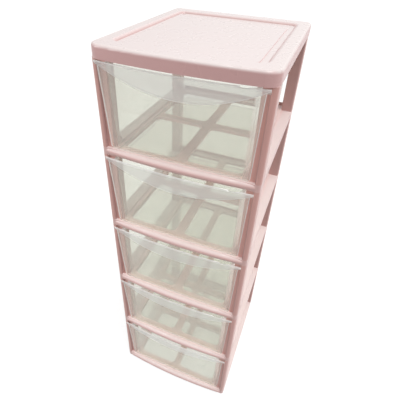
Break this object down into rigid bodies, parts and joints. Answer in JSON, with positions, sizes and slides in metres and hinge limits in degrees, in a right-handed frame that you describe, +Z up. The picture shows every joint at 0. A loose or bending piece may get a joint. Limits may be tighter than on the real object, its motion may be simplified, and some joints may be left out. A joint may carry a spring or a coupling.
{
  "type": "plastic drawer tower",
  "caption": "Tall plastic drawer tower: stacked shelf frames on corner posts, a recessed lid, and clear sliding drawers with flared pull lips.",
  "frame": {"origin": "middle of the tower's plan at floor level", "axes": "+Z up, +X to the right as seen from the front, -Y the way the drawers open"},
  "size_m": [0.282, 0.332, 0.856],
  "materials": {
    "frame": "satin pink",
    "lid": "satin pink, finely grained top",
    "drawer": "clear, polished"
  },
  "bodies": {
    "tower": {"lid": "lid", "shelf_1": "frame", "shelf_2": "frame", "shelf_3": "frame", "shelf_4": "frame", "shelf_5": "frame", "post_1_front_left": "frame", "post_1_front_right": "frame", "post_1_back_left": "frame", "post_1_back_right": "frame", "post_2_front_left": "frame", "post_2_front_right": "frame", "post_2_back_left": "frame", "post_2_back_right": "frame", "post_3_front_left": "frame", "post_3_front_right": "frame", "post_3_back_left": "frame", "post_3_back_right": "frame", "post_4_front_left": "frame", "post_4_front_right": "frame", "post_4_back_left": "frame", "post_4_back_right": "frame", "post_5_front_left": "frame", "post_5_front_right": "frame", "post_5_back_left": "frame", "post_5_back_right": "frame"},
    "drawer_1": {"drawer_1": "drawer"},
    "drawer_2": {"drawer_2": "drawer"},
    "drawer_3": {"drawer_3": "drawer"},
    "drawer_4": {"drawer_4": "drawer"},
    "drawer_5": {"drawer_5": "drawer"}
  },
  "joints": [
    {"name": "drawer_1_slide", "type": "slide", "parent": "tower", "child": "drawer_1", "axis": [0, -1, 0], "range_m": [0, 0.23]},
    {"name": "drawer_2_slide", "type": "slide", "parent": "tower", "child": "drawer_2", "axis": [0, -1, 0], "range_m": [0, 0.23]},
    {"name": "drawer_3_slide", "type": "slide", "parent": "tower", "child": "drawer_3", "axis": [0, -1, 0], "range_m": [0, 0.23]},
    {"name": "drawer_4_slide", "type": "slide", "parent": "tower", "child": "drawer_4", "axis": [0, -1, 0], "range_m": [0, 0.23]},
    {"name": "drawer_5_slide", "type": "slide", "parent": "tower", "child": "drawer_5", "axis": [0, -1, 0], "range_m": [0, 0.23]}
  ]
}
